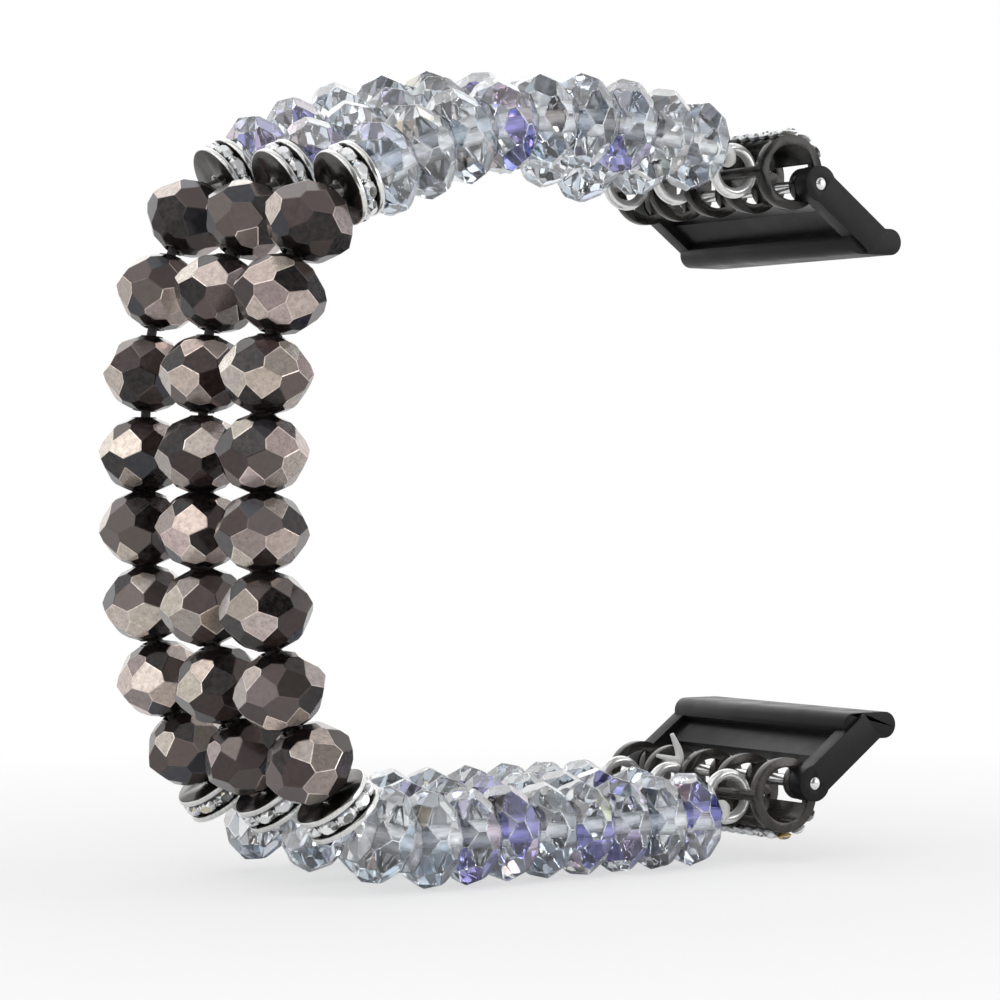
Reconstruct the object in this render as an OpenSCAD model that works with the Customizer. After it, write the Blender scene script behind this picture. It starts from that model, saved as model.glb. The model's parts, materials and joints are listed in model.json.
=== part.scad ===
// Stretch watch band: three elastic cords strung with faceted beads, closed by two hinged lug adapters.
// X runs from the gunmetal rows to the lug adapters, Y across the band, Z up. The band stands on its lower crystals.

/* [Gunmetal beads] */
// Widest size of a gunmetal bead, over its belt corners
metal_d = 7.2; // [7:0.1:7.4]
// Length of a gunmetal bead along the cord
metal_l = 5.8; // [5.7:0.1:6.2]
// Radius of a gunmetal bead's flat ends
metal_end_r = 1.05; // [0.95:0.05:1.15]
// How far the belt facets of a gunmetal bead reach from the zigzag towards its ends, as a share
metal_belt = 0.28; // [0.26:0.02:0.32]
// Tilt of its shoulder facets, in degrees from the cord
shoulder_tilt = 42; // [41:1:43]
// Tilt of its crown facets, in degrees from the cord
crown_tilt = 66; // [65:1:68]
// Rows of gunmetal beads in the fixed middle, on each side of the band's centre
centre_rows = 2; // [1:1:3]
// Rows of gunmetal beads between the middle and a spacer
outer_rows = 2; // [1:1:3]

/* [Crystal beads] */
// Widest size of a crystal bead, over its belt corners
crystal_d = 7.7; // [6:0.1:7.8]
// Length of a crystal bead along the cord
crystal_l = 3.55; // [3.4:0.05:4.4]
// Radius of a crystal bead's flat ends, as a share of the most that the belt facets leave there
crystal_end = 0.925; // [0.8:0.005:0.95]
// How far the belt facets of a crystal bead reach from the zigzag towards its ends, as a share
crystal_belt = 0.34; // [0.2:0.01:0.5]
// Crystals of one strand in each of the three flexing groups of a side
group_crystals = 3; // [2:1:4]

/* [Bead cutting] */
// Facets in one row round a bead
facets = 8; // [8:1:10]
// Tilt of the belt facets, in degrees from the cord
belt_tilt = 24; // [22:1:26]
// Radius of the hole through every bead and spacer
hole_r = 0.65; // [0.5:0.05:0.8]

/* [Loop] */
// Bend of the gunmetal rows: heading in degrees from upright, over the square of the row
curl = 2.6; // [1.5:0.1:2.8]
// Heading of the first upper crystal, in degrees from upright
top_first = 67; // [60:1:80]
// Heading of the last upper crystal, in degrees from upright
top_last = 100; // [90:1:104]
// Heading of the first lower crystal, in degrees from upright
bottom_first = 74; // [60:1:80]
// Turn from one lower crystal to the next, until they lie flat
bottom_turn = 16; // [10:1:28]
// Share of the upper corner's turn that lies before the spacer
top_corner_share = 0.9; // [0.5:0.05:0.95]
// Share of the lower corner's turn that lies before the spacer
bottom_corner_share = 0.2; // [0.1:0.05:0.5]
// Extra rise of the far strand where the band turns at the top
far_rise = 2.2; // [0:0.1:2.6]
// Distance between strands at the gunmetal beads
pitch_back = 10.2; // [9.4:0.1:10.8]
// Distance between strands at the connectors
pitch_end = 8; // [7.9:0.05:8.4]
// Least gap between two beads of a strand
bead_gap = 0.06; // [0.04:0.02:0.2]
// Extra gap where the band flexes
flex_gap = 0.12; // [0.12:0.02:0.6]

/* [Spacers] */
// Radius of a spacer's two flanges
flange_r = 3.1; // [2.8:0.1:3.5]
// Thickness of a flange
flange_t = 0.45; // [0.4:0.05:0.8]
// Width of the groove that holds the stones
groove_w = 1.25; // [1.2:0.05:1.35]
// Radius of a spacer's hub
hub_r = 2.2; // [2.1:0.05:2.4]
// Stones round a spacer
spacer_stones = 10; // [6:1:10]
// How far a spacer's stones stay back from the flange edge
stone_inset = 0.15; // [0.05:0.05:0.3]

/* [Cords and jump rings] */
// Radius of an elastic cord
cord_r = 0.4; // [0.3:0.05:0.45]
// Outer radius of a jump ring
ring_r = 2.3; // [2.1:0.05:2.4]
// Radius of a jump ring's wire
wire_r = 0.45; // [0.3:0.05:0.5]
// Gap between a strand's last crystal and its jump ring
ring_gap = 0.15; // [0.1:0.05:0.8]
// Offset of the jump rings from the strands, towards the inside of the band
ring_drop = 1.6; // [1:0.1:1.6]
// Length of a cord's cut tail
tail_l = 3.2; // [2:0.1:4]

/* [Connectors] */
// Distance between ribs
rib_pitch = 5.4; // [5.2:0.05:5.8]
// Thickness of a rib
rib_t = 0.8; // [0.6:0.05:1]
// Outer radius of a rib
rib_r = 3.1; // [2.9:0.05:3.4]
// Thickness of a rib's rim and of the stone plate
rib_wall = 0.8; // [0.6:0.05:0.9]
// Radius of the bar that the jump rings hold
bar_r = 0.5; // [0.4:0.05:0.55]
// Where the jump rings hold the bar, in degrees below their own height
bar_fall = 15; // [0:1:20]
// First edge of the stone plate, in degrees from the lug side
plate_from = 20; // [16:1:40]
// Last edge of the stone plate
plate_to = 124; // [110:1:126]
// Size of a plate stone over its corners
plate_stone_d = 1.3; // [1.1:0.05:1.5]
// Height of a plate stone
plate_stone_h = 0.55; // [0.4:0.05:0.8]
// Least gap between plate stones
stone_gap = 0.1; // [0.08:0.02:0.3]

/* [Hinge pins and lug adapters] */
// Radius of a hinge pin
pin_r = 0.5; // [0.4:0.05:0.7]
// Distance from a connector's centre to its pin, towards the lug
pin_x = 1.7; // [1.4:0.05:1.9]
// Distance from a connector's centre to its pin, towards the inside of the band
pin_z = 1; // [0.6:0.05:1.2]
// Wall round the pin in a rib
boss_wall = 0.9; // [0.6:0.05:1]
// Radius of an adapter's eye round the pin
eye_r = 1.5; // [1.3:0.05:1.7]
// Width of an adapter's arm across its length
arm_w = 2.6; // [2:0.1:2.8]
// Thickness of an adapter's arm
arm_t = 1.6; // [1.2:0.05:2]
// Distance from the pin to the tongue, towards the lug
tongue_x = 5.9; // [5:0.1:6.5]
// Distance from the pin to the tongue, towards the inside of the band
tongue_z = 4.5; // [3.6:0.1:5.2]
// Depth of the tongue's section
tongue_w = 5.4; // [4.5:0.1:6]
// Height of the tongue's section
tongue_h = 2.2; // [1.8:0.1:2.4]
// How far the tongue stays back from the adapter's sides
tongue_inset = 0.4; // [0.1:0.1:1]
// Thickness of the web between the arms
web_t = 1.1; // [0.8:0.1:1.4]
// Clear distance from the pin to the web
web_from = 2.6; // [2.4:0.1:3]

/* [Clearances] */
// Radial clearance of a pin in its holes
pin_clear = 0.05; // [0.02:0.01:0.1]
// Gap between a connector's end rib and an adapter's arm
side_clear = 0.15; // [0.1:0.05:0.3]
// Gap between a stone and what it sits on
seat = 0.03; // [0.02:0.01:0.1]

/* [Hidden] */
$fn = 48;
STRANDS = ["near", "middle", "far"];

// Pieces on one strand of one side, counted from the band's centre: gunmetal rows, a spacer, crystals
metal_rows = centre_rows + outer_rows;
spacer_at = metal_rows;
crystal_at = metal_rows + 1;
crystals = 3 * group_crystals;
pieces = crystal_at + crystals;
wave = 180 / (pieces - 1);
spacer_l = 2 * flange_t + groove_w;
TOP = 1;
BOTTOM = -1;

// Ribs of a connector: the outer jump rings sit between the last two on each side
ribs = 5;
stone_sides = 8;
cord_sides = 8;
// Extra length of a cut that goes right through
through = 1;

// A bead is cut in rows of facets, from its belt to its flat end. A row is the tilt of its facets and their
// distance from the bead's centre. Places on a bead are a radius and a height.
half = 180 / facets;
function belt_row(d) = [belt_tilt, d / 2 * cos(belt_tilt) * (1 + cos(half)) / 2];
function row_through(tilt, p) = [tilt, p[0] * cos(tilt) + p[1] * sin(tilt)];
function zigzag_of(d) = d / 2 * cos(belt_tilt) * (1 - cos(half)) / 2 / sin(belt_tilt);
// Middle of a row's facet at height z, and where two belt facets meet the next row
function facet_r(row, z) = (row[1] - z * sin(row[0])) / cos(row[0]);
function low_of(d, l, share) =
    let (z = zigzag_of(d) + share * (l / 2 - zigzag_of(d)))
    [facet_r(belt_row(d), z) / cos(half), z];
// Radius and height that lie on both lines  a r + b z = c  and  d r + e z = f
function meet(a, b, c, d, e, f) = [(c * e - b * f) / (a * e - b * d), (a * f - c * d) / (a * e - b * d)];
// Where two facets of one row meet a single facet of another
function corner(pair, single) =
    meet(cos(half) * cos(pair[0]), sin(pair[0]), pair[1], cos(single[0]), sin(single[0]), single[1]);
function corners_of(d, l, end_r, rows) = [
    [d / 2, zigzag_of(d)],
    for (j = [0 : len(rows) - 2]) each [corner(rows[j], rows[j + 1]), corner(rows[j + 1], rows[j])],
    [end_r, l / 2]
];

// Gunmetal beads have belt, shoulder and crown facets, crystals only a belt and a cap
metal_rows_cut = [
    belt_row(metal_d),
    row_through(shoulder_tilt, low_of(metal_d, metal_l, metal_belt)),
    row_through(crown_tilt, [metal_end_r * cos(half), metal_l / 2])
];
metal_corners = corners_of(metal_d, metal_l, metal_end_r, metal_rows_cut);
crystal_end_r = crystal_end * facet_r(belt_row(crystal_d), crystal_l / 2);
crystal_low = low_of(crystal_d, crystal_l, crystal_belt);
crystal_cap_tilt = atan2(crystal_low[0] - crystal_end_r * cos(half), crystal_l / 2 - crystal_low[1]);
crystal_rows_cut = [belt_row(crystal_d), row_through(crystal_cap_tilt, crystal_low)];
crystal_corners = corners_of(crystal_d, crystal_l, crystal_end_r, crystal_rows_cut);

function length_of(i) = i < spacer_at ? metal_l : i == spacer_at ? spacer_l : crystal_l;
// How far a bead reaches along a direction that leans from its cord
function reach(i, lean) =
    max([for (p = i < spacer_at ? metal_corners : crystal_corners) p[1] * cos(lean) + p[0] * sin(lean)]);
// The corner flexes on the side of the spacer where it turns most
function corner_at(side) = side == TOP ? spacer_at : crystal_at;
function flexes(i, side) =
    i == centre_rows || i == corner_at(side) || i > crystal_at && (i - crystal_at) % group_crystals == 0;

// Heading of each piece, in degrees from upright. The lower crystals lie flat.
function metal_heading(i) = curl * pow(i + 0.5, 2);
function mix(a, b, share) = a * (1 - share) + b * share;
function ease(j) = (1 - cos(180 * j / (crystals - 1))) / 2;
function crystal_heading(j, side) =
    side == TOP ? mix(top_first, top_last, ease(j)) : min(90, bottom_first + j * bottom_turn);
function corner_share(side) = side == TOP ? top_corner_share : bottom_corner_share;
function heading(i, side) =
    i < spacer_at ? metal_heading(i)
    : i == spacer_at ? mix(metal_heading(i - 1), crystal_heading(0, side), corner_share(side))
    : crystal_heading(i - crystal_at, side);

// Like pieces meet edge to edge on the bisector of their turn, and a bead leans on a spacer's flat flange.
// The far strand turns more than the near one where it rises over the upper crystals.
function lift_turn(i, side) =
    side == TOP && i > spacer_at ? atan(2 * far_rise * (1 - cos(wave)) * sin(wave * i) / crystal_l) : 0;
function turn_before(i, side) = abs(heading(i, side) - heading(i - 1, side)) + lift_turn(i, side);
function gap_before(i, side) = bead_gap + (flexes(i, side) ? flex_gap : 0);
function step_length(i, side) =
    let (turn = turn_before(i, side), gap = gap_before(i, side))
    i == spacer_at || i == crystal_at
    ? (spacer_l / 2 + reach(i == spacer_at ? i - 1 : i, turn) + gap) / cos(turn / 2)
    : 2 * reach(i, turn / 2) + gap;
function along(angle, distance) = distance * [sin(angle), cos(angle)];
function step_to(i, side) = along((heading(i, side) + heading(i - 1, side)) / 2, step_length(i, side));
function first_place(side) = along(heading(0, side), (metal_l + bead_gap) / 2);
function route(side) = [
    for (i = 0, p = first_place(side); i < pieces; i = i + 1, p = i < pieces ? p + step_to(i, side) : p) p
];
routes = [route(TOP), route(BOTTOM)];
function base(i, side) = routes[side == TOP ? 0 : 1][i];

// The outer strands spread from the connectors towards the gunmetal rows, and the far one rises at the turn
function spread(i) = pitch_end + (pitch_back - pitch_end) * min(1, (pieces - 1 - i) / crystals);
function strand_y(i, s) = (s - 1) * spread(i);
function rise(i, side, s) = side == TOP ? far_rise * sin(wave * i) * s / 2 : 0;
function place(i, side, s) = base(i, side) + [0, rise(i, side, s)];
function neighbour_turn(i, side, s) =
    let (a = max(i - 1, 0), b = min(i + 1, pieces - 1))
    let (d = place(b, side, s) - place(a, side, s), e = base(b, side) - base(a, side))
    atan2(d[0], d[1]) - atan2(e[0], e[1]);
function turned(i, side, s) = heading(i, side) + neighbour_turn(i, side, s);

// The frame: origin below the middle of the band, at the foot of the lower crystals
foot = base(pieces - 1, BOTTOM)[1] + crystal_d / 2;
back_x = base(0, TOP)[0] - metal_d / 2;
function point(p, y, side) = [p[0] - origin_x, y, side * p[1] + foot];
function strand_end(side) = base(pieces - 1, side) + along(heading(pieces - 1, side), crystal_l / 2);
function ring_at(side) = strand_end(side) + [ring_r + ring_gap, -ring_drop];
ring_mid_r = ring_r - wire_r;
// The cord ties round the ring's wire just below the strand's own height
tie_below = 6;
tie_angle = asin(ring_drop / ring_mid_r) - tie_below;
tie_clear = 0.2;
tail_bend = [-0.2, -1];
tail_end = [-0.1, -1];
ring_hole_r = ring_r - 2 * wire_r;
bar_x = rib_wall / 2 - rib_r;
function bar_at(side) = ring_at(side) + (ring_hole_r - bar_r - side_clear) * [cos(bar_fall), -sin(bar_fall)];
function connector_at(side) = bar_at(side) - [bar_x, 0];
function pin_at(side) = connector_at(side) + [pin_x, -pin_z];
function tongue_at(side) = pin_at(side) + [tongue_x, -tongue_z];
front_x = max(tongue_at(TOP)[0], tongue_at(BOTTOM)[0]) + tongue_w / 2;
origin_x = (back_x + front_x) / 2;

comb_w = (ribs - 1) * rib_pitch + rib_t;
adapter_w = comb_w + 2 * (side_clear + arm_t);
// The outer rings hang off the middles of their bays, so that the cord gets past the wire on its way round
outer_bay = (ribs - 2) * rib_pitch / 2;
ring_aside = 0.5;
ring_y = [ring_aside - outer_bay, rib_t / 2 + wire_r + side_clear, ring_aside + outer_bay];

// A cut bead round the Z axis. Its upper and lower belt facets meet in a zigzag, half a facet apart, and each
// row sits half a facet on from the row before it.
module bead(l, corners) {
    n = facets;
    rows = len(corners) / 2;
    ring = function (p, z_side, phase) [
        for (k = [0 : n - 1])
            let (turn = half * (2 * k + phase))
            [p[0] * cos(turn), p[0] * sin(turn), z_side * p[1]]
    ];
    points = [
        for (lower = [0, 1], q = [0 : 2 * rows - 1])
            each ring(corners[q], 1 - 2 * lower, (floor(q / 2) + 1 + lower) % 2)
    ];
    at = function (lower, q, k) (lower * 2 * rows + q) * n + k;
    facet = function (lower, row, k)
        let (even = (row + lower) % 2 == 0)
        let (left = even ? (k + n - 1) % n : k, right = even ? k : (k + 1) % n)
        [
            at(lower, 2 * row, right),
            row == 0 ? at(1 - lower, 0, k) : at(lower, 2 * row - 1, k),
            at(lower, 2 * row, left),
            at(lower, 2 * row + 1, left),
            if (row < rows - 1) at(lower, 2 * row + 2, k),
            at(lower, 2 * row + 1, right)
        ];
    faces = [
        for (row = [0 : rows - 1], k = [0 : n - 1]) each [facet(0, row, k), reversed(facet(1, row, k))],
        [for (k = [n - 1 : -1 : 0]) at(0, 2 * rows - 1, k)],
        [for (k = [0 : n - 1]) at(1, 2 * rows - 1, k)]
    ];
    difference() {
        polyhedron(points, faces, convexity = 2);
        cylinder(r = hole_r, h = l + through, center = true);
    }
}

// Puts a piece on its strand, with its Z axis along the cord
module on_strand(i, side, s, roll = 0) {
    t = turned(i, side, s);
    translate(point(place(i, side, s), strand_y(i, s), side))
        rotate([0, side == TOP ? t : 180 - t, 0])
            rotate([0, 0, roll])
                children();
}

// The beads sit turned by uneven amounts on their cords
roll_along = 37;
roll_across = 19;
function bead_roll(i, s) = (roll_along * i + roll_across * s) % (360 / facets);

module metal_beads(from, count, side, s) {
    color("#5a504c")
        for (i = [from : from + count - 1])
            on_strand(i, side, s, bead_roll(i, s))
                bead(metal_l, metal_corners);
}

module metal_centre(s) {
    metal_beads(0, centre_rows, TOP, s);
    metal_beads(0, centre_rows, BOTTOM, s);
}

module crystal_beads(group, side, s) {
    color("#a9b8c2")
        for (i = [crystal_at + group * group_crystals : crystal_at + (group + 1) * group_crystals - 1])
            on_strand(i, side, s, bead_roll(i, s))
                bead(crystal_l, crystal_corners);
}

module spacer_frame(side, s) {
    color("#d8d8d6")
        on_strand(spacer_at, side, s)
            difference() {
                union() {
                    cylinder(r = hub_r, h = spacer_l, center = true);
                    for (z = [-1, 1])
                        translate([0, 0, z * (groove_w + flange_t) / 2])
                            cylinder(r = flange_r, h = flange_t, center = true);
                }
                cylinder(r = hole_r, h = spacer_l + through, center = true);
            }
}

module spacer_stones_round(side) {
    stone_h = flange_r - stone_inset - hub_r - seat;
    color("#eef2f4")
        for (s = [0 : 2], k = [0 : spacer_stones - 1])
            on_strand(spacer_at, side, s, 360 / spacer_stones * k)
                translate([hub_r + seat, 0, 0])
                    rotate([0, 90, 0])
                        rotate([0, 0, 180 / stone_sides])
                            cylinder(d = groove_w - 2 * seat, h = stone_h, $fn = stone_sides);
}

// A faceted tube along a list of points
module tube(path, r) {
    sides = cord_sides;
    last = len(path) - 1;
    unit = function (v) v / norm(v);
    rings = [
        for (i = [0 : last])
            let (ahead = unit(path[min(i + 1, last)] - path[i == last ? last - 1 : i]))
            let (behind = unit(path[i == 0 ? 1 : i] - path[max(i - 1, 0)]))
            let (t = unit(ahead + behind))
            let (u = unit(cross(t, abs(t[1]) > 0.9 ? [0, 0, 1] : [0, 1, 0])), v = cross(t, u))
            for (k = [0 : sides - 1]) path[i] + r * (cos(360 / sides * k) * u + sin(360 / sides * k) * v)
    ];
    quads = [
        for (i = [0 : last - 1], k = [0 : sides - 1])
            let (a = sides * i + k, b = sides * i + (k + 1) % sides)
            [a, b, b + sides, a + sides]
    ];
    triangles = [for (q = quads) each [[q[0], q[1], q[2]], [q[0], q[2], q[3]]]];
    ends = [[for (k = [sides - 1 : -1 : 0]) k], [for (k = [0 : sides - 1]) sides * last + k]];
    polyhedron(rings, concat(triangles, ends), convexity = 4);
}

// A cord's end leaves the last crystal, goes round the jump ring's wire and ends in a cut tail
function cord_end(side, s) =
    let (at = ring_at(side) + ring_mid_r * [-cos(tie_angle), sin(tie_angle)])
    let (y = ring_y[s], out = cord_r + wire_r + tie_clear, start = strand_end(side))
    let (exit = start + along(heading(pieces - 1, side), tie_clear), exit_y = strand_y(pieces - 1, s))
    let (inwards = out * [cos(tie_angle), -sin(tie_angle)], bow = cos(45))
    [
        point(exit, exit_y, side),
        point((exit + at) / 2, (exit_y + y) / 2 - bow * out, side),
        point(at, y - out, side),
        point(at + bow * inwards, y - bow * out, side),
        point(at + inwards, y, side),
        point(at + bow * inwards, y + bow * out, side),
        point(at, y + out, side),
        point(at + tail_l / 2 * tail_bend, y + out, side),
        point(at + tail_l * tail_end, y + out, side)
    ];
// Inside each piece the cord runs straight along the hole, and it bends only in the gaps
function strand_points(side, s) = [
    for (i = [0 : pieces - 1], end = [-1, 1])
        let (half_hole = along(turned(i, side, s), end * length_of(i) / 2))
        point(place(i, side, s) + half_hole, strand_y(i + end / 2, s), side)
];
function reversed(list) = [for (i = [len(list) - 1 : -1 : 0]) list[i]];

module elastic_cord(s) {
    color("#f4f3ee")
        tube(concat(
            reversed(cord_end(TOP, s)), reversed(strand_points(TOP, s)),
            strand_points(BOTTOM, s), cord_end(BOTTOM, s)
        ), cord_r);
}

module jump_ring(side, s) {
    color("#cfcfcd")
        translate(point(ring_at(side), ring_y[s], side))
            rotate([90, 0, 0])
                rotate_extrude()
                    translate([ring_mid_r, 0]) circle(wire_r);
}

// Turns a piece drawn round its Z axis to lie across the band, with Y towards the outside
module lying(p, side) {
    translate(point(p, 0, side))
        mirror([0, 0, side == TOP ? 0 : 1])
            rotate([90, 0, 0])
                children();
}

module across(p, side, width) {
    lying(p, side)
        linear_extrude(width, center = true)
            children();
}

// Five rims hang from a curved stone plate, each with a boss round the pin, and a bar ties their backs
module connector(side) {
    bay = rib_pitch - rib_t;
    cut = rib_wall / 2;
    color("#4a4443")
        lying(connector_at(side), side)
            difference() {
                union() {
                    difference() {
                        cylinder(r = rib_r, h = comb_w, center = true);
                        cylinder(r = rib_r - rib_wall, h = comb_w + through, center = true);
                        for (k = [0 : ribs - 2])
                            translate([0, 0, (k - (ribs - 2) / 2) * rib_pitch])
                                rotate([0, 0, plate_to])
                                    rotate_extrude(angle = 360 + plate_from - plate_to)
                                        translate([rib_r - rib_wall - cut, -bay / 2])
                                            square([rib_wall + 2 * cut, bay]);
                    }
                    for (k = [0 : ribs - 1])
                        translate([pin_x, -pin_z, (k - (ribs - 1) / 2) * rib_pitch])
                            cylinder(r = pin_r + pin_clear + boss_wall, h = rib_t, center = true);
                    translate([bar_x, 0, 0])
                        cylinder(r = bar_r, h = comb_w, center = true);
                }
                translate([pin_x, -pin_z, 0])
                    cylinder(r = pin_r + pin_clear, h = comb_w + through, center = true);
            }
}

module connector_stones(side) {
    pitch = plate_stone_d + stone_gap;
    turn = 2 * asin(pitch / 2 / (rib_r + seat));
    rows = floor((plate_to - plate_from) / turn);
    columns = floor(comb_w / pitch);
    first = (plate_from + plate_to) / 2 - (rows - 1) * turn / 2;
    color("#e9eef2")
        lying(connector_at(side), side)
            for (row = [0 : rows - 1], k = [0 : columns - 1])
                rotate([0, 0, first + row * turn])
                    translate([rib_r + seat, 0, (k - (columns - 1) / 2) * comb_w / columns])
                        rotate([0, 90, 0])
                            rotate([0, 0, 180 / stone_sides])
                                cylinder(d = plate_stone_d, h = plate_stone_h, $fn = stone_sides);
}

module hinge_pin(side) {
    color("#c9c9c7") across(pin_at(side), side, adapter_w) circle(pin_r);
}

// The tongue slides into the case's lug groove. Two arms and a web carry it from the pin.
module lug_adapter(side) {
    lean = atan2(-tongue_z, tongue_x);
    reach = norm([tongue_x, tongue_z]);
    flat_w = tongue_w - tongue_h;
    color("#2c2b2d") {
        difference() {
            for (y = [-1, 1])
                translate([0, y * (adapter_w - arm_t) / 2, 0])
                    across(pin_at(side), side, arm_t) {
                        circle(eye_r);
                        rotate(lean) translate([0, -arm_w / 2]) square([reach, arm_w]);
                    }
            across(pin_at(side), side, adapter_w + through) circle(pin_r + pin_clear);
        }
        across(pin_at(side), side, adapter_w - arm_t)
            rotate(lean) translate([web_from, -web_t / 2]) square([reach - web_from, web_t]);
        across(tongue_at(side), side, adapter_w - 2 * tongue_inset) {
            square([flat_w, tongue_h], center = true);
            for (x = [-1, 1]) translate([x * flat_w / 2, 0]) circle(tongue_h / 2);
        }
    }
}

for (s = [0 : 2]) {
    metal_centre(s);
    metal_beads(centre_rows, outer_rows, TOP, s);
    metal_beads(centre_rows, outer_rows, BOTTOM, s);
    spacer_frame(TOP, s);
    spacer_frame(BOTTOM, s);
    crystal_beads(0, TOP, s);
    crystal_beads(1, TOP, s);
    crystal_beads(2, TOP, s);
    crystal_beads(0, BOTTOM, s);
    crystal_beads(1, BOTTOM, s);
    crystal_beads(2, BOTTOM, s);
    elastic_cord(s);
    jump_ring(TOP, s);
    jump_ring(BOTTOM, s);
}
spacer_stones_round(TOP);  // top_spacer_stones
spacer_stones_round(BOTTOM);  // bottom_spacer_stones
connector(TOP);  // top_connector
connector(BOTTOM);  // bottom_connector
connector_stones(TOP);  // top_connector_stones
connector_stones(BOTTOM);  // bottom_connector_stones
hinge_pin(TOP);  // top_hinge_pin
hinge_pin(BOTTOM);  // bottom_hinge_pin
lug_adapter(TOP);  // top_lug_adapter
lug_adapter(BOTTOM);  // bottom_lug_adapter
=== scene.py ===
import json
import math
import random
import bpy
import numpy as np
from mathutils import Matrix, Vector


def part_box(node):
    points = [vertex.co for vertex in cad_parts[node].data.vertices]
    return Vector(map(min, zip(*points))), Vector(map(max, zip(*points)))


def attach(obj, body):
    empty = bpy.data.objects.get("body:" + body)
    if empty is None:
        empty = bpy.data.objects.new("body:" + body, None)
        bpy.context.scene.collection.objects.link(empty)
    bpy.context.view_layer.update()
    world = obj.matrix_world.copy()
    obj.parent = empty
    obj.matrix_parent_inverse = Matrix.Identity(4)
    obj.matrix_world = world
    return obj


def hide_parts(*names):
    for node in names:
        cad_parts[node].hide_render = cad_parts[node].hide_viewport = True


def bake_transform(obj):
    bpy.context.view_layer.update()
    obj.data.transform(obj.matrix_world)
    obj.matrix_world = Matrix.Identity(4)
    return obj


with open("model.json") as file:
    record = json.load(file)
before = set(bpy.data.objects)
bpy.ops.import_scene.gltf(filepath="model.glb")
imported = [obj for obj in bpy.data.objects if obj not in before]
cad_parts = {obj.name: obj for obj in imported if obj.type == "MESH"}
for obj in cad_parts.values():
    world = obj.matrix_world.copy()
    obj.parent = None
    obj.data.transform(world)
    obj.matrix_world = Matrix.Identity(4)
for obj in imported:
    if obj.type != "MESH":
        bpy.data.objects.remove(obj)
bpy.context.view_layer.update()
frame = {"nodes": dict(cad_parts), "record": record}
nodes = frame["nodes"]
bodies = frame["record"]["behaviour"]["bodies"]
bodyOf = {node: body for body, members in bodies.items() for node in members}
halves = ("top", "bottom")
strands = ("near", "middle", "far")
groups = ("inner", "mid", "outer")
ends = [(side, strand) for side in halves for strand in strands]  # both ends of each strand
mm = 0.001
print("frame loaded:", len(nodes), "nodes")

# camera; its place is in metres from the gunmetal rows, the lens and the sensor in mm
camera = {
    "lens": 127.2,
    "sensor": 36,
    "look": (0.565, 0.825, 0),
    "leftOfRows": 0.1185,
    "beforeMiddle": 0.2475,
    "aboveMiddle": 0.0014,
    "shiftX": -0.207,
    "shiftY": -0.026,
}
rowsLow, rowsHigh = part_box("metal_centre_near")
middleHeight = (rowsLow.z + rowsHigh.z) / 2
bpy.ops.object.camera_add(
    location=(rowsLow.x - camera["leftOfRows"], -camera["beforeMiddle"], middleHeight + camera["aboveMiddle"]),
    rotation=Vector(camera["look"]).to_track_quat("-Z", "Y").to_euler(),
)
bpy.context.scene.camera = bpy.context.object
optics = bpy.context.object.data
optics.lens, optics.sensor_width = camera["lens"], camera["sensor"]
optics.shift_x, optics.shift_y = camera["shiftX"], camera["shiftY"]
optics.clip_start = 0.01

# small helpers
facetAngle = 12  # two facets of a bead meet at more degrees than this
cornerAngle = 30  # and two faces of a metal part at more than this
facing = 0.9  # a face looks a given way if its normal has more than this share along it
roundFlat = 0.5  # degrees up to which faces are merged where a round face has to keep its steps


def selectOnly(*pieces):
    bpy.ops.object.select_all(action="DESELECT")
    for piece in pieces:
        piece.select_set(True)
    bpy.context.view_layer.objects.active = pieces[0]


def openEdit(piece, mode="FACE"):
    selectOnly(piece)
    bpy.ops.object.mode_set(mode="EDIT")
    bpy.ops.mesh.select_mode(type=mode)
    bpy.ops.mesh.select_all(action="SELECT")


def closeEdit():
    bpy.ops.object.mode_set(mode="OBJECT")


def selectFaces(piece, wanted):
    # picks faces of the piece that is open in edit mode, and no others
    bpy.ops.mesh.select_all(action="DESELECT")
    bpy.ops.object.mode_set(mode="OBJECT")
    for face in piece.data.polygons:
        face.select = wanted(face)
    bpy.ops.object.mode_set(mode="EDIT")


def stretch(piece, shape):
    openEdit(piece)
    bpy.ops.transform.resize(value=shape, center_override=(0, 0, 0))
    closeEdit()


def smoothBy(piece, degrees):
    selectOnly(piece)
    bpy.ops.object.shade_smooth_by_angle(angle=math.radians(degrees))


def addPiece(name, mesh):
    piece = bpy.data.objects.new(name, mesh)
    bpy.context.scene.collection.objects.link(piece)
    return piece


def cleanCopy(node, name, flatAngle=1.0):
    # the CAD mesh in millimetres, its triangles merged to the facets that were cut
    mesh = nodes[node].data.copy()
    mesh.materials.clear()
    mesh.transform(Matrix.Scale(1 / mm, 4))
    piece = addPiece(name, mesh)
    selectOnly(piece)
    bpy.ops.mesh.customdata_custom_splitnormals_clear()
    openEdit(piece, "VERT")
    bpy.ops.mesh.remove_doubles(threshold=0.002)
    bpy.ops.mesh.dissolve_limited(angle_limit=math.radians(flatAngle))
    closeEdit()
    piece.data.shade_flat()
    return piece


def bevelSharp(piece, width, sharpness, segments=1):
    # the new faces get the second material slot, by which paintFacets knows them
    piece.data.materials.append(None)
    piece.data.materials.append(None)
    openEdit(piece, "EDGE")
    bpy.ops.mesh.select_all(action="DESELECT")
    bpy.ops.mesh.edges_select_sharp(sharpness=math.radians(sharpness))
    bpy.ops.mesh.bevel(
        offset=width, offset_type="OFFSET", segments=segments, profile=0.5, affect="EDGES",
        clamp_overlap=True, material=1,
    )
    closeEdit()


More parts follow.
